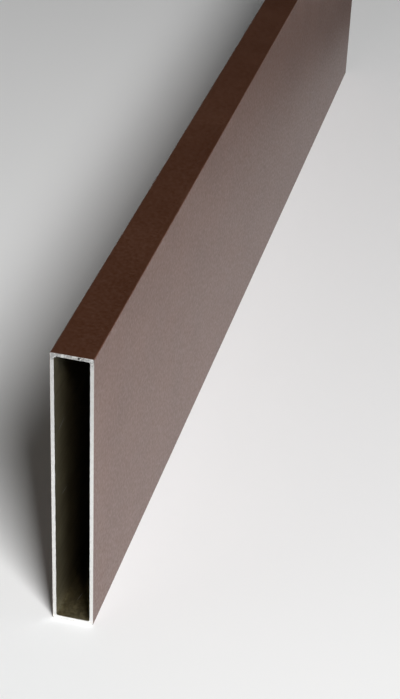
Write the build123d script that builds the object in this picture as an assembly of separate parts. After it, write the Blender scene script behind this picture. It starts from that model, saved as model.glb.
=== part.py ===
from build123d import *
import os

# Rectangular hollow section, extruded in aluminium and cut to length, standing on its narrow edge.
# Frame: origin at the middle of the footprint, +X across the width, +Y along the stock, +Z up.
# Millimetres.

section_width = 20.0
section_height = 150.0
wall_thickness = 1.8
outer_corner_radius = 0.5
inner_corner_radius = 1.0
cut_length = 670.0


def rounded_rectangle(width, height, radius):
    """A closed profile with round corners, centred on its sketch plane."""
    largest_radius = 0.45 * min(width, height)
    return RectangleRounded(width, height, min(radius, largest_radius))


def die_profile():
    """The section as the die gives it: the outline with the bore left open."""
    outline = rounded_rectangle(section_width, section_height, outer_corner_radius)
    bore_width = section_width - 2 * wall_thickness
    bore_height = section_height - 2 * wall_thickness
    bore = rounded_rectangle(bore_width, bore_height, inner_corner_radius)
    return outline - bore


def box_section():
    """The profile run along +Y and sawn square at both ends, with its lower edge on the floor."""
    section_plane = Plane(
        origin=(0, cut_length / 2, section_height / 2), x_dir=(1, 0, 0), z_dir=(0, -1, 0)
    )
    return extrude(section_plane * die_profile(), amount=cut_length)


nodes = {"box_section": box_section()}

os.makedirs("parts", exist_ok=True)
for name, solid in nodes.items():
    export_step(solid, f"parts/{name}.step")
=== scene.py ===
import math

import bmesh
import bpy
from mathutils import Matrix, Vector


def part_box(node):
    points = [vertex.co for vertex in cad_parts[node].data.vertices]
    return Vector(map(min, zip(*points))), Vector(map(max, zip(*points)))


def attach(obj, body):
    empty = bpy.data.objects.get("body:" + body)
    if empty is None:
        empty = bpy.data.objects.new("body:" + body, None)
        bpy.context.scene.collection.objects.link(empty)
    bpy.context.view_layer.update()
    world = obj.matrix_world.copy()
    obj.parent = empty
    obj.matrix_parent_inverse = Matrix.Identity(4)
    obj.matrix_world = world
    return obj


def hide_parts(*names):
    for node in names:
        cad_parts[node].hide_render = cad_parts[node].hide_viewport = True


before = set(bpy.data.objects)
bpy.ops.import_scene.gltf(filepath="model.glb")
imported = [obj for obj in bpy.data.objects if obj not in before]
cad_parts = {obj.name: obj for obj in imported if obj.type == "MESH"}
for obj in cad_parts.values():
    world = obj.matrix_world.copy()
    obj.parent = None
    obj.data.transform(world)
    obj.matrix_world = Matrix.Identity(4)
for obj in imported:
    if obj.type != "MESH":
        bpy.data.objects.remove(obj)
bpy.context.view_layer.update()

# A length of rectangular hollow section: extruded in aluminium, powder coated brown outside and
# sawn square at both ends. It stands on its narrow edge, with its length along Y. Metres.

bl_info = {
    "name": "Coated box section",
    "version": (1, 0, 0),
    "blender": (4, 5, 0),
    "location": "3D View > Sidebar > Section",
    "description": "Models a sawn length of powder coated aluminium hollow section and its studio",
    "category": "Object",
}

MILLIMETRE = 0.001
NODE = "box_section"
SECTION_NAME = "coated_box_section"
BODY = "root"
SECTION_LOW, SECTION_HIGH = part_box(NODE)
SECTION_CENTRE = (SECTION_LOW + SECTION_HIGH) / 2


def linear(hex_colour):
    """An sRGB hex colour as the linear RGB values that shaders and colour properties hold."""
    channels = [int(hex_colour[start:start + 2], 16) / 255 for start in (1, 3, 5)]
    return tuple(c / 12.92 if c <= 0.04045 else ((c + 0.055) / 1.055) ** 2.4 for c in channels)


def per_pattern(size):
    """The noise scale on Object coordinates whose features are about this many millimetres large."""
    return 1 / (size * MILLIMETRE)


class SectionSizes(bpy.types.PropertyGroup):
    """Sizes of the extrusion, its coat and the marks of the saw."""

    width: bpy.props.FloatProperty(
        name="Width", description="Across the narrow edge that the section stands on",
        default=SECTION_HIGH.x - SECTION_LOW.x, unit="LENGTH", precision=5,
    )
    height: bpy.props.FloatProperty(
        name="Height", description="From the floor to the upper narrow edge",
        default=SECTION_HIGH.z - SECTION_LOW.z, unit="LENGTH", precision=5,
    )
    length: bpy.props.FloatProperty(
        name="Length", description="From one sawn end to the other",
        default=SECTION_HIGH.y - SECTION_LOW.y, unit="LENGTH", precision=5,
    )
    wall: bpy.props.FloatProperty(
        name="Wall", description="Thickness of the extruded wall with its coat",
        default=1.8 * MILLIMETRE, unit="LENGTH", precision=5,
    )
    outer_radius: bpy.props.FloatProperty(
        name="Outer corner radius", description="Rounding that the die gives the outer corners",
        default=0.5 * MILLIMETRE, unit="LENGTH", precision=5,
    )
    inner_radius: bpy.props.FloatProperty(
        name="Inner corner radius", description="Rounding that the die gives the bore's corners",
        default=1.0 * MILLIMETRE, unit="LENGTH", precision=5,
    )
    coat: bpy.props.FloatProperty(
        name="Coat thickness", description="Powder coat, seen edge on round the sawn ring",
        default=0.09 * MILLIMETRE, unit="LENGTH", precision=5,
    )
    rim_depth: bpy.props.FloatProperty(
        name="Rim depth", description="How far behind the cut the saw's burr reaches",
        default=0.6 * MILLIMETRE, unit="LENGTH", precision=5,
    )
    rim_pitch: bpy.props.FloatProperty(
        name="Rim pitch", description="Spacing of the points along each rim",
        default=1.5 * MILLIMETRE, unit="LENGTH", precision=5,
    )
    burr: bpy.props.FloatProperty(
        name="Burr", description="How far the saw's burr strays along the bore's rim",
        default=0.09 * MILLIMETRE, unit="LENGTH", precision=5,
    )
    fray: bpy.props.FloatProperty(
        name="Fray", description="How far the coat's edge strays where the saw frayed it",
        default=0.02 * MILLIMETRE, unit="LENGTH", precision=5,
    )
    chip_place: bpy.props.FloatProperty(
        name="Chip place",
        description="The chips in the near end's upper wall, to the right of the middle",
        default=2.4 * MILLIMETRE, unit="LENGTH", precision=5,
    )
    chip_depth: bpy.props.FloatProperty(
        name="Chip depth", description="How deep a tooth of the saw tore the upper wall",
        default=1.2 * MILLIMETRE, unit="LENGTH", precision=5,
    )
    tongue: bpy.props.FloatProperty(
        name="Tongue",
        description="How far a flap of burr hangs into the near mouth's upper left corner",
        default=0.4 * MILLIMETRE, unit="LENGTH", precision=5,
    )
    notch: bpy.props.FloatProperty(
        name="Notch", description="How far the saw tore the upper wall beside that flap",
        default=0.4 * MILLIMETRE, unit="LENGTH", precision=5,
    )
    notch_place: bpy.props.FloatProperty(
        name="Notch place", description="The notch's middle, from the bore's left wall",
        default=1.35 * MILLIMETRE, unit="LENGTH", precision=5,
    )
    notch_width: bpy.props.FloatProperty(
        name="Notch width", description="Width of the notch at the mouth's edge",
        default=0.55 * MILLIMETRE, unit="LENGTH", precision=5,
    )


class SectionFinishes(bpy.types.PropertyGroup):
    """Colours of the coat and of the bare metal."""

    coat: bpy.props.FloatVectorProperty(
        name="Powder coat", description="Brown pigment of the cured powder",
        default=linear("#402313"), subtype="COLOR", min=0, max=1,
    )
    coat_thin: bpy.props.FloatVectorProperty(
        name="Powder coat, thin", description="The same brown where the film lies thinner",
        default=linear("#4A2D1E"), subtype="COLOR", min=0, max=1,
    )
    sawn: bpy.props.FloatVectorProperty(
        name="Sawn metal", description="Bright aluminium straight from the saw",
        default=linear("#EAE8E3"), subtype="COLOR", min=0, max=1,
    )
    # Also the grey of the painted shade that darkens the sawn ring towards its top.
    smear_and_painted_shade: bpy.props.FloatVectorProperty(
        name="Smeared metal", description="Greyer patches that the teeth smeared",
        default=linear("#A5A4A0"), subtype="COLOR", min=0, max=1,
    )
    bore: bpy.props.FloatVectorProperty(
        name="Bore", description="Metal of the bore under its pretreatment",
        default=linear("#8A7F62"), subtype="COLOR", min=0, max=1,
    )
    bore_stain: bpy.props.FloatVectorProperty(
        name="Bore, stained", description="Darker lines where the pretreatment dried",
        default=linear("#6A5F47"), subtype="COLOR", min=0, max=1,
    )
    # Saw dust, and also painted light: a lighter colour for the pool of light on the bore's floor by
    # each cut.
    dust_and_painted_light: bpy.props.FloatVectorProperty(
        name="Saw dust", description="Fine cuttings that lie in the bore next to the cut",
        default=linear("#968C6C"), subtype="COLOR", min=0, max=1,
    )


class StudioSettings(bpy.types.PropertyGroup):
    """The floor, its flag, the lights, the room's glow and the camera."""

    floor: bpy.props.FloatVectorProperty(
        name="Floor", description="Pale matt floor",
        default=linear("#ECECEC"), subtype="COLOR", min=0, max=1,
    )
    key_power: bpy.props.FloatProperty(
        name="Key power", description="Power of the key light", default=90.0, unit="POWER",
    )
    key_azimuth: bpy.props.FloatProperty(
        name="Key azimuth",
        description="Where the key light stands, from the near end round to the right",
        default=math.radians(32.3), subtype="ANGLE",
    )
    key_elevation: bpy.props.FloatProperty(
        name="Key elevation", description="How high the key light stands, as an angle",
        default=math.radians(40.3), subtype="ANGLE",
    )
    key_distance: bpy.props.FloatProperty(
        name="Key distance", description="From the section's middle", default=2.74, unit="LENGTH",
    )
    key_width: bpy.props.FloatProperty(
        name="Key width", description="Width of the light's panel", default=0.92, unit="LENGTH",
    )
    key_height: bpy.props.FloatProperty(
        name="Key height", description="Height of the light's panel", default=0.62, unit="LENGTH",
    )
    key_target: bpy.props.FloatVectorProperty(
        name="Key target", description="Point that the panel faces",
        default=(0.5, 0.02, -0.1), subtype="TRANSLATION",
    )
    low_power: bpy.props.FloatProperty(
        name="Low light power", description="Power of the small panel that stands to the right",
        default=24.0, unit="POWER",
    )
    low_colour: bpy.props.FloatVectorProperty(
        name="Low light colour", description="Colour of the panel on the right: a little cool",
        default=linear("#DAE8FF"), subtype="COLOR", min=0, max=1,
    )
    left_power: bpy.props.FloatProperty(
        name="Left light power", description="Power of the small panel that stands to the left",
        default=8.0, unit="POWER",
    )
    left_place: bpy.props.FloatVectorProperty(
        name="Left light place", description="Middle of the panel on the left",
        default=(-1.25, -0.1, 0.08), subtype="TRANSLATION",
    )
    left_target: bpy.props.FloatVectorProperty(
        name="Left light target",
        description="Point that the panel on the left and the floor's fill face",
        default=(0.0, 0.0, 0.075), subtype="TRANSLATION",
    )
    left_width: bpy.props.FloatProperty(
        name="Left light width", description="Width of the panel on the left, and of the floor's fill",
        default=0.8, unit="LENGTH",
    )
    fill_power: bpy.props.FloatProperty(
        name="Fill power", description="Power of the low panel that softens the shadow on the floor",
        default=5.2, unit="POWER",
    )
    fill_colour: bpy.props.FloatVectorProperty(
        name="Fill colour", description="Colour of the fill: very faintly green",
        default=linear("#E6F4E8"), subtype="COLOR", min=0, max=1,
    )
    fill_place: bpy.props.FloatVectorProperty(
        name="Fill place", description="Middle of the panel that lights the floor in the shadow",
        default=(-1.0, -0.8, 0.08), subtype="TRANSLATION",
    )
    low_place: bpy.props.FloatVectorProperty(
        name="Low light place", description="Middle of the panel on the right",
        default=(0.9, -0.9, 0.08), subtype="TRANSLATION",
    )
    low_target: bpy.props.FloatVectorProperty(
        name="Low light target", description="Point that the panel on the right faces",
        default=(0.0, -0.2, 0.075), subtype="TRANSLATION",
    )
    low_width: bpy.props.FloatProperty(
        name="Low light width", description="Width of the panel on the right",
        default=0.6, unit="LENGTH",
    )
    low_height: bpy.props.FloatProperty(
        name="Low light height", description="Height of all three small panels",
        default=0.14, unit="LENGTH",
    )
    window_glow: bpy.props.FloatProperty(
        name="Window glow", description="Brightness of the low bright band in front, to the left",
        default=1.8, min=0,
    )
    wall_glow: bpy.props.FloatProperty(
        name="Wall glow", description="Brightness of the rest of the room near the floor",
        default=0.08, min=0,
    )
    ceiling_glow: bpy.props.FloatProperty(
        name="Ceiling glow", description="Brightness of the room's dark ceiling", default=0.01, min=0,
    )
    backdrop: bpy.props.FloatProperty(
        name="Backdrop", description="Plain tone of the backdrop and of the floor far off",
        default=0.74, min=0, max=1,
    )
    flag: bpy.props.FloatVectorProperty(
        name="Flag", description="Grey card that holds back the floor's shine to the right",
        default=linear("#787878"), subtype="COLOR", min=0, max=1,
    )
    camera_place: bpy.props.FloatVectorProperty(
        name="Camera place", description="Where the camera stands",
        default=(0.18996, -0.91995, 0.55339), subtype="TRANSLATION",
    )
    camera_pitch: bpy.props.FloatProperty(
        name="Camera pitch", description="How far the camera looks down",
        default=math.radians(32.963), subtype="ANGLE",
    )
    camera_turn: bpy.props.FloatProperty(
        name="Camera turn", description="How far the camera is turned left of the section's length",
        default=math.radians(12.920), subtype="ANGLE",
    )
    camera_roll: bpy.props.FloatProperty(
        name="Camera roll", description="How far the camera leans to the left",
        default=math.radians(2.540), subtype="ANGLE",
    )
    lens: bpy.props.FloatProperty(
        name="Lens", description="Focal length in millimetres on a 36 mm sensor",
        default=88.74, min=1,
    )


def add_node(tree, kind, inputs=None, **settings):
    """Add a node, set its properties, and set or link the sockets named in inputs."""
    node = tree.nodes.new(kind)
    for name, value in settings.items():
        setattr(node, name, value)
    for name, value in (inputs or {}).items():
        if isinstance(value, bpy.types.NodeSocket):
            tree.links.new(value, node.inputs[name])
        else:
            node.inputs[name].default_value = value
    return node


def opaque(colour):
    """A colour with full alpha, as a colour socket wants it."""
    return (*colour, 1.0)


def new_material(name):
    """An empty node material, with its tree and Object coordinates."""
    material = bpy.data.materials.new(name)
    material.use_nodes = True
    tree = material.node_tree
    tree.nodes.clear()
    place = add_node(tree, "ShaderNodeTexCoord").outputs["Object"]
    return material, tree, place


def finish_material(tree, **inputs):
    """Close the tree with one shader, whose sockets are named with underscores for spaces."""
    sockets = {name.replace("_", " "): value for name, value in inputs.items()}
    surface = add_node(tree, "ShaderNodeBsdfPrincipled", sockets)
    add_node(tree, "ShaderNodeOutputMaterial", {"Surface": surface.outputs["BSDF"]})


# A colour Mix node repeats its socket names, so its colour sockets are reached by number.
MIX_FACTOR = 0
MIX_FIRST = 6
MIX_SECOND = 7
MIX_RESULT = 2


# Sizes of patterns, here and below, are in millimetres, as per_pattern takes them.
COAT_IOR = 1.75
COAT_ROUGHNESS = (0.34, 0.51)
COAT_CLOUD = 35
COAT_SPECKLE = 1.6
PEEL_SWELL = 2.0
PEEL_HEIGHT = 0.045 * MILLIMETRE


def powder_coat(finishes):
    """Polyester powder sprayed on and oven cured: an even satin brown with faint orange peel."""
    material, tree, place = new_material("satin_polyester_powder_coat")
    # The film is a touch thinner and lighter in soft clouds a few centimetres across.
    clouds = add_node(
        tree, "ShaderNodeTexNoise", {"Vector": place, "Scale": per_pattern(COAT_CLOUD), "Detail": 3.0}
    )
    # Cured grains of pigment give a fine even speckle, drawn coarse enough to show.
    speckle = add_node(
        tree, "ShaderNodeTexNoise",
        {"Vector": place, "Scale": per_pattern(COAT_SPECKLE), "Detail": 2.0},
    )
    both = add_node(
        tree, "ShaderNodeMath", {0: clouds.outputs["Fac"], 1: speckle.outputs["Fac"]},
        operation="MULTIPLY",
    )
    thin = add_node(
        tree, "ShaderNodeMapRange", {"Value": both.outputs[0], "From Min": 0.12, "From Max": 0.42}
    )
    colour = add_node(
        tree, "ShaderNodeMix",
        {
            MIX_FACTOR: thin.outputs[0],
            MIX_FIRST: opaque(finishes.coat),
            MIX_SECOND: opaque(finishes.coat_thin),
        },
        data_type="RGBA",
    )
    satin = add_node(
        tree, "ShaderNodeMapRange",
        {"Value": speckle.outputs["Fac"], "From Min": 0.3, "From Max": 0.7,
         "To Min": COAT_ROUGHNESS[0], "To Max": COAT_ROUGHNESS[1]},
    )
    # Orange peel is a 2 mm swell, a few hundredths of a millimetre high.
    peel = add_node(
        tree, "ShaderNodeTexNoise",
        {"Vector": place, "Scale": per_pattern(PEEL_SWELL), "Detail": 2.0},
    )
    relief = add_node(
        tree, "ShaderNodeBump", {"Height": peel.outputs["Fac"], "Distance": PEEL_HEIGHT}
    )
    finish_material(
        tree, Base_Color=colour.outputs[MIX_RESULT], Roughness=satin.outputs[0],
        Normal=relief.outputs["Normal"], IOR=COAT_IOR,
    )
    return material


AXLE_ABOVE = 110 * MILLIMETRE
AXLE_ASIDE = 40 * MILLIMETRE
FEED_MARK = 0.7
WAVES_IN_A_UNIT = 20
SMEAR = 1.2
# How far the painted shade greys the sawn ring at its top.
PAINTED_SHADE_AT_TOP = 0.42
SAWN_ROUGHNESS = (0.44, 0.52)
SCORE_DEPTH = 0.005 * MILLIMETRE


def sawn_aluminium(finishes, sizes):
    """Circular-sawn aluminium: bright and finely scored by the teeth, grey where smears lie, and
    greyed towards the top by painted shade.
    """
    material, tree, place = new_material("circular_sawn_aluminium")
    # The blade came down from above, so its arcs centre on an axle over the section.
    axle_height = sizes.height + AXLE_ABOVE
    about_axle = add_node(
        tree, "ShaderNodeMapping",
        {"Vector": place, "Location": (AXLE_ASIDE, 0.0, -axle_height)},
    )
    # Feed marks about 0.7 mm apart; a wave texture repeats twenty times in a unit at scale 1.
    arcs = add_node(
        tree, "ShaderNodeTexWave",
        {"Vector": about_axle.outputs[0], "Scale": per_pattern(FEED_MARK) / WAVES_IN_A_UNIT,
         "Distortion": 1.5, "Detail": 2.0, "Detail Scale": 2.0},
        wave_type="RINGS", rings_direction="Y",
    )
    smears = add_node(
        tree, "ShaderNodeTexNoise",
        {"Vector": place, "Scale": per_pattern(SMEAR), "Detail": 3.0},
    )
    patches = add_node(
        tree, "ShaderNodeMapRange",
        {"Value": smears.outputs["Fac"], "From Min": 0.4, "From Max": 0.65},
    )
    # The blade went in at the upper wall and left most smears there; below it cut clean. The greying
    # that grows from halfway up to the top is painted shade.
    height = add_node(tree, "ShaderNodeSeparateXYZ", {"Vector": place}).outputs["Z"]
    upper_wall = add_node(
        tree, "ShaderNodeMapRange",
        {"Value": height, "From Min": sizes.height - 3 * sizes.wall,
         "From Max": sizes.height - sizes.wall, "To Min": 0.1, "To Max": 1.1},
    )
    painted_top_shade = add_node(
        tree, "ShaderNodeMapRange",
        {"Value": height, "From Min": 0.45 * sizes.height, "From Max": sizes.height,
         "To Min": 0.0, "To Max": PAINTED_SHADE_AT_TOP},
        interpolation_type="SMOOTHSTEP",
    )
    mottled = add_node(
        tree, "ShaderNodeMath", {0: patches.outputs[0], 1: upper_wall.outputs[0]},
        operation="MULTIPLY",
    )
    # Smears, plus the painted shade that greys the ring towards its top.
    smear_and_painted_shade = add_node(
        tree, "ShaderNodeMath", {0: mottled.outputs[0], 1: painted_top_shade.outputs[0]}, operation="ADD",
        use_clamp=True,
    )
    colour = add_node(
        tree, "ShaderNodeMix",
        {
            MIX_FACTOR: smear_and_painted_shade.outputs[0],
            MIX_FIRST: opaque(finishes.sawn),
            MIX_SECOND: opaque(finishes.smear_and_painted_shade),
        },
        data_type="RGBA",
    )
    scored = add_node(
        tree, "ShaderNodeMapRange",
        {"Value": arcs.outputs["Fac"], "To Min": SAWN_ROUGHNESS[0], "To Max": SAWN_ROUGHNESS[1]},
    )
    relief = add_node(
        tree, "ShaderNodeBump", {"Height": arcs.outputs["Fac"], "Distance": SCORE_DEPTH}
    )
    finish_material(
        tree, Base_Color=colour.outputs[MIX_RESULT], Roughness=scored.outputs[0],
        Normal=relief.outputs["Normal"], Metallic=1.0,
    )
    return material


# Handling scratched the bore near the sawn end. Of each scratch: its middle in millimetres, its
# turns about X, Y and Z in degrees from lengthwise, and its half length in millimetres.
SCRATCHES = (
    ((-8.2, -325.0, 106.1), (11.7, 0, 0), 5.3),
    ((-8.2, -321.2, 66.3), (-5.3, 0, 0), 5.0),
    ((-1.5, -319.5, 1.8), (0, 0, -9.0), 3.6),
)
SCRATCH_HALF_WIDTH = 0.3 * MILLIMETRE
SCRATCH_SHARE = 0.45


def scratches(tree, place):
    """How much bare metal shows: some within the thin tapering scratches, none around them."""
    marks = None
    for middle, turns, half_length in SCRATCHES:
        ellipse = add_node(
            tree, "ShaderNodeMapping",
            {"Vector": place, "Location": [part * MILLIMETRE for part in middle],
             "Rotation": [math.radians(part) for part in turns],
             "Scale": (SCRATCH_HALF_WIDTH, half_length * MILLIMETRE, SCRATCH_HALF_WIDTH)},
            vector_type="TEXTURE",
        )
        away = add_node(
            tree, "ShaderNodeVectorMath", {0: ellipse.outputs["Vector"]}, operation="LENGTH"
        )
        mark = add_node(
            tree, "ShaderNodeMapRange",
            {"Value": away.outputs["Value"], "From Min": 1.0, "From Max": 0.5,
             "To Max": SCRATCH_SHARE},
        ).outputs[0]
        if marks is not None:
            mark = add_node(
                tree, "ShaderNodeMath", {0: marks, 1: mark}, operation="MAXIMUM"
            ).outputs[0]
        marks = mark
    return marks


# The lighter patch of saw dust and painted light: how high above the bore's floor, how far in from
# each cut, and how coarse.
DUST_AND_LIGHT_DEPTH = 16 * MILLIMETRE
DUST_AND_LIGHT_REACH = 32 * MILLIMETRE
DUST_AND_LIGHT_GRAIN = 1.2


def saw_dust_and_painted_light(tree, place, wall):
    """How strongly the lighter patch shows, saw dust and painted light together: most on the bore's
    floor, next to the sawn ends.
    """
    parts = add_node(tree, "ShaderNodeSeparateXYZ", {"Vector": place})
    low = add_node(
        tree, "ShaderNodeMapRange",
        {"Value": parts.outputs["Z"], "From Min": wall + DUST_AND_LIGHT_DEPTH, "From Max": wall},
    )
    lengthwise = add_node(
        tree, "ShaderNodeMath", {0: parts.outputs["Y"]}, operation="ABSOLUTE"
    )
    near_cut = add_node(
        tree, "ShaderNodeMapRange",
        {"Value": lengthwise.outputs[0], "From Min": SECTION_HIGH.y - DUST_AND_LIGHT_REACH,
         "From Max": SECTION_HIGH.y},
    )
    grains = add_node(
        tree, "ShaderNodeTexNoise",
        {"Vector": place, "Scale": per_pattern(DUST_AND_LIGHT_GRAIN), "Detail": 2.0},
    )
    patches = add_node(
        tree, "ShaderNodeMapRange",
        {"Value": grains.outputs["Fac"], "From Min": 0.4, "From Max": 0.6, "To Min": 0.3},
    )
    amount = add_node(
        tree, "ShaderNodeMath", {0: low.outputs[0], 1: near_cut.outputs[0]}, operation="MULTIPLY"
    )
    return add_node(
        tree, "ShaderNodeMath", {0: amount.outputs[0], 1: patches.outputs[0]}, operation="MULTIPLY"
    ).outputs[0]


LENGTHWISE_SQUEEZE = 0.006
DIE_LINE = 1.1
DIE_LINE_DEPTH = 0.005 * MILLIMETRE
FILM_CLOUD = 14
BORE_ROUGHNESS = (0.42, 0.47)
METALLIC_UNDER_DUST_AND_LIGHT = 0.85


def bore_metal(finishes, sizes):
    """As-extruded aluminium, pretreated for coating: a dull olive film with faint die lines."""
    material, tree, place = new_material("pretreated_extruded_aluminium")
    # Die lines run the whole length, about 1 mm apart.
    lengthwise = add_node(
        tree, "ShaderNodeMapping", {"Vector": place, "Scale": (1.0, LENGTHWISE_SQUEEZE, 1.0)}
    )
    lines = add_node(
        tree, "ShaderNodeTexNoise",
        {"Vector": lengthwise.outputs[0], "Scale": per_pattern(DIE_LINE), "Detail": 4.0},
    )
    # The film dried in broad soft clouds, a centimetre and more across.
    clouds = add_node(
        tree, "ShaderNodeTexNoise",
        {"Vector": place, "Scale": per_pattern(FILM_CLOUD), "Detail": 3.0},
    )
    both = add_node(
        tree, "ShaderNodeMath", {0: clouds.outputs["Fac"], 1: 0.45, 2: 0.15},
        operation="MULTIPLY_ADD",
    )
    lined = add_node(
        tree, "ShaderNodeMath", {0: lines.outputs["Fac"], 1: 0.25, 2: both.outputs[0]},
        operation="MULTIPLY_ADD",
    )
    stained = add_node(
        tree, "ShaderNodeMapRange",
        {"Value": lined.outputs[0], "From Min": 0.35, "From Max": 0.65},
    )
    colour = add_node(
        tree, "ShaderNodeMix",
        {
            MIX_FACTOR: stained.outputs[0],
            MIX_FIRST: opaque(finishes.bore),
            MIX_SECOND: opaque(finishes.bore_stain),
        },
        data_type="RGBA",
    )
    scratched = add_node(
        tree, "ShaderNodeMix",
        {
            MIX_FACTOR: scratches(tree, place),
            MIX_FIRST: colour.outputs[MIX_RESULT],
            MIX_SECOND: opaque(finishes.sawn),
        },
        data_type="RGBA",
    )
    # Saw dust and a painted pool of light lighten the bore's floor next to the cuts.
    dust_and_painted_light = saw_dust_and_painted_light(tree, place, sizes.wall)
    dusty_and_painted_light = add_node(
        tree, "ShaderNodeMix",
        {
            MIX_FACTOR: dust_and_painted_light,
            MIX_FIRST: scratched.outputs[MIX_RESULT],
            MIX_SECOND: opaque(finishes.dust_and_painted_light),
        },
        data_type="RGBA",
    )
    # Dust scatters the light where bare metal only mirrors it.
    mirroring = add_node(
        tree, "ShaderNodeMapRange",
        {"Value": dust_and_painted_light, "To Min": 1.0, "To Max": METALLIC_UNDER_DUST_AND_LIGHT},
    )
    dulled = add_node(
        tree, "ShaderNodeMapRange",
        {"Value": lines.outputs["Fac"], "From Min": 0.3, "From Max": 0.7,
         "To Min": BORE_ROUGHNESS[0], "To Max": BORE_ROUGHNESS[1]},
    )
    relief = add_node(
        tree, "ShaderNodeBump", {"Height": lines.outputs["Fac"], "Distance": DIE_LINE_DEPTH}
    )
    finish_material(
        tree, Base_Color=dusty_and_painted_light.outputs[MIX_RESULT], Roughness=dulled.outputs[0],
        Normal=relief.outputs["Normal"], Metallic=mirroring.outputs[0],
    )
    return material


# Material slots. New faces are in slot 0, the coat's.
SAWN = 1
BORE = 2
CORNER_SEGMENTS = 6
ALIGNED = 0.999
ROUND_BELOW = math.radians(30)
HAIR = 0.01 * MILLIMETRE


def deselect_everything():
    """Leave nothing selected."""
    bpy.ops.object.select_all(action="DESELECT")


def choose(piece, kind, test):
    """In edit mode, select the vertices, edges or faces that pass the test, and nothing else."""
    bpy.ops.mesh.select_mode(type=kind)
    bpy.ops.mesh.select_all(action="DESELECT")
    shape = bmesh.from_edit_mesh(piece.data)
    elements = {"VERT": shape.verts, "EDGE": shape.edges, "FACE": shape.faces}[kind]
    for element in elements:
        if test(element):
            element.select_set(True)
    shape.select_flush_mode()
    bmesh.update_edit_mesh(piece.data)


def middle(element):
    """The middle of an edge or face."""
    return sum((corner.co for corner in element.verts), Vector()) / len(element.verts)


def runs_along(edge, axis):
    """Whether an edge is parallel to the axis numbered 0, 1 or 2."""
    return abs((edge.verts[1].co - edge.verts[0].co).normalized()[axis]) > ALIGNED


def faces_an_end(face):
    """Whether a face looks straight along the section's length."""
    return abs(face.normal.y) > ALIGNED


def paint(piece, slot):
    """Give the selected faces the material in this slot."""
    piece.active_material_index = slot
    bpy.ops.object.material_slot_assign()


def coated_bar(sizes, materials):
    """A solid bar to the outline, with its four long corners rounded. It is left in edit mode."""
    deselect_everything()
    bpy.ops.mesh.primitive_cube_add(
        size=1, location=SECTION_CENTRE, scale=(sizes.width, sizes.length, sizes.height),
        calc_uvs=False,
    )
    piece = bpy.context.object
    piece.name = SECTION_NAME
    for material in materials:
        piece.data.materials.append(material)
    bpy.ops.object.transform_apply(location=True, rotation=True, scale=True)
    bpy.ops.object.mode_set(mode="EDIT")
    choose(piece, "EDGE", lambda edge: runs_along(edge, 1))
    bpy.ops.mesh.bevel(offset=sizes.outer_radius, segments=CORNER_SEGMENTS, affect="EDGES")
    return piece


def open_ends(piece, sizes):
    """Take each end's face away but for the thickness of the coat, which the saw left showing."""
    choose(piece, "FACE", faces_an_end)
    bpy.ops.mesh.inset(thickness=sizes.coat, depth=0)
    bpy.ops.mesh.delete(type="FACE")


def add_bore(piece, sizes):
    """The bore's skin, facing inwards and open at both ends."""
    bpy.ops.mesh.select_all(action="DESELECT")
    bpy.ops.mesh.primitive_cube_add(
        size=1, location=SECTION_CENTRE, calc_uvs=False,
        scale=(sizes.width - 2 * sizes.wall, sizes.length, sizes.height - 2 * sizes.wall),
    )
    paint(piece, BORE)

    def on_bore(element):
        return all(face.material_index == BORE for face in element.link_faces)

    choose(piece, "EDGE", lambda edge: on_bore(edge) and runs_along(edge, 1))
    bpy.ops.mesh.bevel(offset=sizes.inner_radius, segments=CORNER_SEGMENTS, affect="EDGES")
    choose(piece, "FACE", lambda face: face.material_index == BORE and faces_an_end(face))
    bpy.ops.mesh.delete(type="FACE")
    choose(piece, "FACE", lambda face: face.material_index == BORE)
    bpy.ops.mesh.flip_normals()


def join_with_sawn_rings(piece, sizes):
    """Close the wall at each end with the ring of metal that the saw laid bare."""
    for end in (-sizes.length / 2, sizes.length / 2):

        def open_here(edge, end=end):
            return edge.is_boundary and abs(middle(edge).y - end) < HAIR

        choose(piece, "EDGE", open_here)
        bpy.ops.mesh.bridge_edge_loops()
        paint(piece, SAWN)


def divide_rims(piece, sizes):
    """Give every wall a loop just behind each cut, and every rim a point each rim pitch."""
    for side in (-1, 1):
        bpy.ops.mesh.select_mode(type="FACE")
        bpy.ops.mesh.select_all(action="SELECT")
        place = side * (sizes.length / 2 - sizes.rim_depth)
        bpy.ops.mesh.bisect(plane_co=(0, place, 0), plane_no=(0, 1, 0))
    for axis, span in ((0, sizes.width), (2, sizes.height)):
        straight = span - 2 * sizes.wall - 2 * sizes.inner_radius

        def spans_a_wall(edge, axis=axis, straight=straight):
            return runs_along(edge, axis) and edge.calc_length() > straight - HAIR

        choose(piece, "EDGE", spans_a_wall)
        bpy.ops.mesh.subdivide(number_cuts=round(straight / sizes.rim_pitch))


def rough_the_rims(piece, sizes):
    """Let the burr stray round each mouth of the bore, and the saw fray the coat's edge."""
    bore_half = Vector((sizes.width / 2 - sizes.wall, 0, sizes.height / 2 - sizes.wall))
    film_half = Vector((sizes.width / 2 - sizes.coat, 0, sizes.height / 2 - sizes.coat))
    for seed, end in enumerate((-sizes.length / 2, sizes.length / 2)):
        for reach, half in ((sizes.burr, bore_half), (sizes.fray, film_half)):

            def on_rim(vertex, half=half, end=end):
                place = vertex.co - SECTION_CENTRE
                across = max(abs(place.x) - half.x, abs(place.z) - half.z)
                return abs(place.y - end) < HAIR and abs(across) < HAIR

            choose(piece, "VERT", on_rim)
            bpy.ops.transform.vertex_random(offset=reach, seed=seed)
            # What strayed lengthwise goes back to the plane of the cut.
            bpy.ops.transform.resize(value=(1, 0, 1), center_override=(0, end, 0))


SECOND_CHIP = 0.7
CHIP_MARGIN = 0.14
CHIP_TAPER = 0.08


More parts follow.
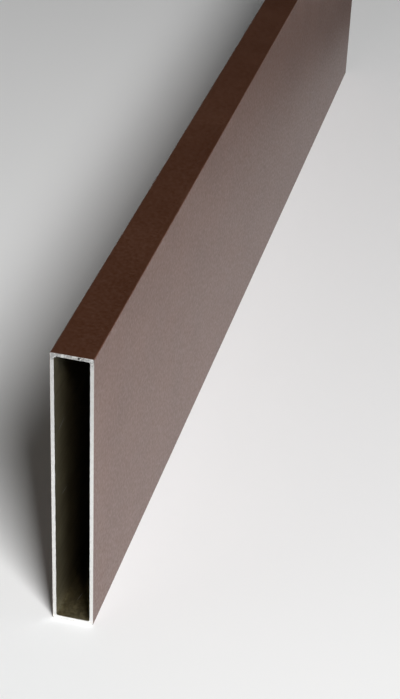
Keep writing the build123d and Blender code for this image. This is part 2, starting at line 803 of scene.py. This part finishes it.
def chip_the_near_ring(piece, sizes):
    """Tear two pits in the near ring's upper wall, as a tooth that catches leaves them."""
    near = SECTION_LOW.y
    wall_middle = SECTION_HIGH.z - sizes.wall / 2
    chips = (
        (sizes.chip_place, sizes.chip_depth),
        (sizes.chip_place + sizes.rim_pitch, SECOND_CHIP * sizes.chip_depth),
    )
    for chip, depth in chips:

        def torn(face, chip=chip):
            place = middle(face)
            return (
                abs(place.y - near) < HAIR and abs(place.z - wall_middle) < sizes.wall / 4
                and abs(place.x - chip) < sizes.rim_pitch / 2
            )

        choose(piece, "FACE", torn)
        bpy.ops.mesh.inset(thickness=CHIP_MARGIN * sizes.wall, depth=0)
        bpy.ops.mesh.inset(thickness=CHIP_TAPER * sizes.wall, depth=-depth)


FLAP_START = 0.45


def tear_the_near_corner(piece, sizes):
    """Hang a flap of burr in the near mouth's upper left corner, with a notch torn beside it."""
    near = SECTION_LOW.y
    bore_left = SECTION_LOW.x + sizes.wall
    bore_top = SECTION_HIGH.z - sizes.wall
    notch = bore_left + sizes.notch_place

    for cut in (notch - sizes.notch_width / 2, notch, notch + sizes.notch_width / 2):

        def crossed(face, cut=cut):
            across = [corner.co.x for corner in face.verts]
            return (
                max(corner.co.y for corner in face.verts) < near + sizes.rim_depth + HAIR
                and SECTION_HIGH.z - sizes.coat > middle(face).z > bore_top - HAIR - sizes.burr
                and min(across) < cut < max(across)
            )

        choose(piece, "FACE", crossed)
        bpy.ops.mesh.bisect(plane_co=(cut, 0, 0), plane_no=(1, 0, 0))

    def on_mouth(vertex):
        return abs(vertex.co.y - near) < HAIR and abs(vertex.co.z - bore_top) < 2 * sizes.burr

    def on_flap(vertex):
        start = bore_left + FLAP_START * sizes.inner_radius
        end = bore_left + sizes.inner_radius + HAIR
        return on_mouth(vertex) and start < vertex.co.x < end

    def on_notch(vertex):
        return on_mouth(vertex) and abs(vertex.co.x - notch) < HAIR

    for torn, shift in ((on_flap, -sizes.tongue), (on_notch, sizes.notch)):
        choose(piece, "VERT", torn)
        bpy.ops.transform.translate(value=(0, 0, shift))


def set_shading(piece):
    """Round the corners to the eye, keep the cuts sharp, and keep the flat walls flat."""
    bpy.ops.object.shade_smooth_by_angle(angle=ROUND_BELOW)
    bpy.ops.object.modifier_add(type="WEIGHTED_NORMAL")
    flat_walls = piece.modifiers[-1]
    flat_walls.keep_sharp = True
    bpy.ops.object.modifier_apply(modifier=flat_walls.name)


class SECTION_OT_box_section(bpy.types.Operator):
    """Model the coated box section with its bore and its two sawn ends"""

    bl_idname = "section.box_section"
    bl_label = "Coated box section"

    def execute(self, context):
        sizes = context.scene.section_sizes
        finishes = context.scene.section_finishes
        materials = [
            powder_coat(finishes), sawn_aluminium(finishes, sizes), bore_metal(finishes, sizes),
        ]
        piece = coated_bar(sizes, materials)
        open_ends(piece, sizes)
        add_bore(piece, sizes)
        join_with_sawn_rings(piece, sizes)
        divide_rims(piece, sizes)
        rough_the_rims(piece, sizes)
        chip_the_near_ring(piece, sizes)
        tear_the_near_corner(piece, sizes)
        bpy.ops.object.mode_set(mode="OBJECT")
        set_shading(piece)
        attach(piece, BODY)
        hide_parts(NODE)
        return {"FINISHED"}


FLOOR_NAME = "floor"
FLOOR_SIZE = 80.0
FLOOR_GAP = 0.02 * MILLIMETRE
MATT = 0.9
# The floor takes light and shadow inside an ellipse round the section, whose half axes these are.
LIT_CENTRE = (-0.049, 0.081, 0.0)
LIT_HALF_AXES = (0.26, 0.53, 1.0)
# Outside it, the light fades out towards an ellipse that is this many times as large.
PLAIN_FROM = 1.8


def looks(tree):
    """Whether a ray looks straight at something, and whether it looks in a shine or through glass."""
    ray = add_node(tree, "ShaderNodeLightPath").outputs
    shine = add_node(
        tree, "ShaderNodeMath", {0: ray["Is Glossy Ray"], 1: ray["Is Transmission Ray"]},
        operation="MAXIMUM",
    )
    return ray["Is Camera Ray"], shine.outputs[0]


def lay_floor(studio):
    """A wide plain floor just under the section. Far off it takes the backdrop's plain tone."""
    deselect_everything()
    bpy.ops.mesh.primitive_plane_add(size=FLOOR_SIZE, location=(0, 0, -FLOOR_GAP))
    floor = bpy.context.object
    floor.name = FLOOR_NAME
    material, tree, place = new_material("matt_studio_floor")
    ellipse = add_node(
        tree, "ShaderNodeMapping",
        {"Vector": place, "Location": LIT_CENTRE, "Rotation": (0, 0, studio.camera_turn),
         "Scale": LIT_HALF_AXES},
        vector_type="TEXTURE",
    )
    away = add_node(
        tree, "ShaderNodeVectorMath", {0: ellipse.outputs["Vector"]}, operation="LENGTH"
    )
    far = add_node(
        tree, "ShaderNodeMapRange",
        {"Value": away.outputs["Value"], "From Min": 1.0, "From Max": PLAIN_FROM},
        interpolation_type="SMOOTHSTEP",
    )
    straight, shine = looks(tree)
    seen = add_node(tree, "ShaderNodeMath", {0: straight, 1: shine}, operation="MAXIMUM")
    plain = add_node(
        tree, "ShaderNodeMath", {0: far.outputs[0], 1: seen.outputs[0]}, operation="MULTIPLY"
    )
    matt = add_node(
        tree, "ShaderNodeBsdfPrincipled", {"Base Color": opaque(studio.floor), "Roughness": MATT}
    )
    tone = add_node(tree, "ShaderNodeEmission", {"Strength": studio.backdrop})
    surface = add_node(
        tree, "ShaderNodeMixShader",
        {0: plain.outputs[0], 1: matt.outputs["BSDF"], 2: tone.outputs["Emission"]},
    )
    add_node(tree, "ShaderNodeOutputMaterial", {"Surface": surface.outputs[0]})
    floor.data.materials.append(material)


# The card's left edge slants by this much sideways for each metre along the section.
FLAG_SLANT = -0.27
FLAG_NEAR = -0.5
FLAG_FAR = 0.55
FLAG_LEFT = 0.15
FLAG_RIGHT = 1.3
FLAG_LIFT = 0.5 * MILLIMETRE


def lay_flag(studio):
    """A grey card on the floor to the right, which only shines show: it darkens them."""
    deselect_everything()
    middle_x = (FLAG_LEFT + FLAG_RIGHT) / 2
    middle_y = (FLAG_NEAR + FLAG_FAR) / 2
    bpy.ops.mesh.primitive_plane_add(
        size=1, location=(middle_x, middle_y, FLAG_LIFT),
    )
    card = bpy.context.object
    card.name = "flag"
    card.scale = (FLAG_RIGHT - FLAG_LEFT, FLAG_FAR - FLAG_NEAR, 1)
    bpy.ops.object.transform_apply(location=True, rotation=True, scale=True)
    bpy.ops.object.mode_set(mode="EDIT")
    for end in (FLAG_NEAR, FLAG_FAR):

        def left_corner(corner, end=end):
            return corner.co.x < middle_x and abs(corner.co.y - end) < HAIR

        choose(card, "VERT", left_corner)
        bpy.ops.transform.translate(value=(FLAG_SLANT * end, 0, 0))
    bpy.ops.object.mode_set(mode="OBJECT")
    material, tree, _ = new_material("grey_card")
    finish_material(tree, Base_Color=opaque(studio.flag), Roughness=MATT)
    card.data.materials.append(material)
    card.visible_camera = False
    card.visible_diffuse = False
    card.visible_transmission = False
    card.visible_shadow = False


def hang_panel(name, place, target, width, height, power):
    """A soft rectangular light that faces the target. The camera doesn't see it."""
    facing = (Vector(target) - Vector(place)).to_track_quat("-Z", "Y")
    deselect_everything()
    bpy.ops.object.light_add(type="AREA", location=place, rotation=facing.to_euler())
    panel = bpy.context.object
    panel.name = name
    panel.data.shape = "RECTANGLE"
    panel.data.size = width
    panel.data.size_y = height
    panel.data.energy = power
    panel.visible_camera = False
    return panel


def shine_only_on(panel, name):
    """Close a panel's shutters, so that its light falls on this one object."""
    lit = bpy.data.collections.new(panel.name + "_falls_on")
    lit.objects.link(bpy.data.objects[name])
    panel.light_linking.receiver_collection = lit


def hang_lights(studio):
    """The key in front, to the right and above, and three small panels standing low."""
    level = math.cos(studio.key_elevation) * studio.key_distance
    place = Vector((
        level * math.sin(studio.key_azimuth),
        -level * math.cos(studio.key_azimuth),
        math.sin(studio.key_elevation) * studio.key_distance + SECTION_CENTRE.z,
    ))
    hang_panel(
        "key_light", place, studio.key_target, studio.key_width, studio.key_height,
        studio.key_power,
    )
    low = hang_panel(
        "low_light", studio.low_place, studio.low_target, studio.low_width, studio.low_height,
        studio.low_power,
    )
    low.data.color = studio.low_colour
    left = hang_panel(
        "left_light", studio.left_place, studio.left_target, studio.left_width,
        studio.low_height, studio.left_power,
    )
    fill = hang_panel(
        "floor_fill", studio.fill_place, studio.left_target, studio.left_width,
        studio.low_height, studio.fill_power,
    )
    fill.data.color = studio.fill_colour
    shine_only_on(low, SECTION_NAME)
    shine_only_on(left, SECTION_NAME)
    shine_only_on(fill, FLOOR_NAME)


# Heights in the room are the sines of the angles above the floor's far edge.
WINDOW_TOP = math.sin(math.radians(13))
WINDOW_WAY = (-0.6, -0.8, 0.0)
WINDOW_EDGES = (0.1, 0.9)
BACKDROP_FADES = (math.sin(math.radians(1)), math.sin(math.radians(4)))


def light_room(studio):
    """A dark room with a bright low band in front, to the left, behind a pale backdrop."""
    world = bpy.data.worlds.new("studio_room")
    bpy.context.scene.world = world
    world.use_nodes = True
    tree = world.node_tree
    tree.nodes.clear()
    direction = add_node(tree, "ShaderNodeTexCoord").outputs["Generated"]
    height = add_node(tree, "ShaderNodeSeparateXYZ", {"Vector": direction}).outputs["Z"]
    low = add_node(
        tree, "ShaderNodeMapRange", {"Value": height, "From Min": WINDOW_TOP, "From Max": 0.0},
        interpolation_type="SMOOTHSTEP",
    )
    towards = add_node(
        tree, "ShaderNodeVectorMath", {0: direction, 1: WINDOW_WAY}, operation="DOT_PRODUCT"
    )
    window = add_node(
        tree, "ShaderNodeMapRange",
        {"Value": towards.outputs["Value"], "From Min": WINDOW_EDGES[0],
         "From Max": WINDOW_EDGES[1], "To Min": studio.wall_glow, "To Max": studio.window_glow},
        interpolation_type="SMOOTHSTEP",
    )
    band = add_node(
        tree, "ShaderNodeMath", {0: low.outputs[0], 1: window.outputs[0]}, operation="MULTIPLY"
    )
    glow = add_node(
        tree, "ShaderNodeMath", {0: band.outputs[0], 1: studio.ceiling_glow}, operation="MAXIMUM"
    )
    below = add_node(
        tree, "ShaderNodeMapRange",
        {"Value": height, "From Min": BACKDROP_FADES[1], "From Max": BACKDROP_FADES[0]},
        interpolation_type="SMOOTHSTEP",
    )
    straight, shine = looks(tree)
    in_shine = add_node(tree, "ShaderNodeMath", {0: shine, 1: below.outputs[0]}, operation="MULTIPLY")
    shone = add_node(
        tree, "ShaderNodeMath", {0: in_shine.outputs[0], 1: studio.backdrop}, operation="MULTIPLY"
    )
    room = add_node(
        tree, "ShaderNodeMath", {0: glow.outputs[0], 1: shone.outputs[0]}, operation="MAXIMUM"
    )
    strength = add_node(
        tree, "ShaderNodeMix",
        {"Factor": straight, "A": room.outputs[0], "B": studio.backdrop},
        data_type="FLOAT",
    )
    sky = add_node(
        tree, "ShaderNodeBackground", {"Color": (1, 1, 1, 1), "Strength": strength.outputs[0]}
    )
    add_node(tree, "ShaderNodeOutputWorld", {"Surface": sky.outputs[0]})


def place_camera(studio):
    """The photograph's viewing angle."""
    turn = Matrix.Rotation(studio.camera_turn, 4, "Z")
    tilt = Matrix.Rotation(math.pi / 2 - studio.camera_pitch, 4, "X")
    lean = Matrix.Rotation(studio.camera_roll, 4, "Z")
    deselect_everything()
    bpy.ops.object.camera_add(
        location=studio.camera_place, rotation=(turn @ tilt @ lean).to_euler()
    )
    camera = bpy.context.object
    camera.name = "camera"
    camera.data.lens = studio.lens
    bpy.context.scene.camera = camera


class SECTION_OT_studio(bpy.types.Operator):
    """Set out the floor, its flag, the lights, the room's glow and the camera"""

    bl_idname = "section.studio"
    bl_label = "Studio"

    def execute(self, context):
        studio = context.scene.section_studio
        lay_floor(studio)
        lay_flag(studio)
        hang_lights(studio)
        light_room(studio)
        place_camera(studio)
        context.scene.view_settings.view_transform = "Standard"
        return {"FINISHED"}


class SECTION_PT_sidebar(bpy.types.Panel):
    """The section's sizes, finishes and studio"""

    bl_idname = "SECTION_PT_sidebar"
    bl_label = "Coated box section"
    bl_space_type = "VIEW_3D"
    bl_region_type = "UI"
    bl_category = "Section"

    def draw(self, context):
        for group in ("section_sizes", "section_finishes", "section_studio"):
            settings = getattr(context.scene, group)
            box = self.layout.box()
            for name in settings.__annotations__:
                box.prop(settings, name)
        for operator in (SECTION_OT_box_section, SECTION_OT_studio):
            self.layout.operator(operator.bl_idname)


CLASSES = (
    SectionSizes, SectionFinishes, StudioSettings,
    SECTION_OT_box_section, SECTION_OT_studio, SECTION_PT_sidebar,
)


def register():
    """Make the classes and the scene's three groups of settings known."""
    for one in CLASSES:
        bpy.utils.register_class(one)
    bpy.types.Scene.section_sizes = bpy.props.PointerProperty(type=SectionSizes)
    bpy.types.Scene.section_finishes = bpy.props.PointerProperty(type=SectionFinishes)
    bpy.types.Scene.section_studio = bpy.props.PointerProperty(type=StudioSettings)


def unregister():
    """Take them away again, in the opposite order."""
    del bpy.types.Scene.section_studio
    del bpy.types.Scene.section_finishes
    del bpy.types.Scene.section_sizes
    for one in reversed(CLASSES):
        bpy.utils.unregister_class(one)


def main():
    """Register, model the section and set out the studio."""
    register()
    bpy.ops.section.box_section()
    bpy.ops.section.studio()


if __name__ == "__main__":
    main()
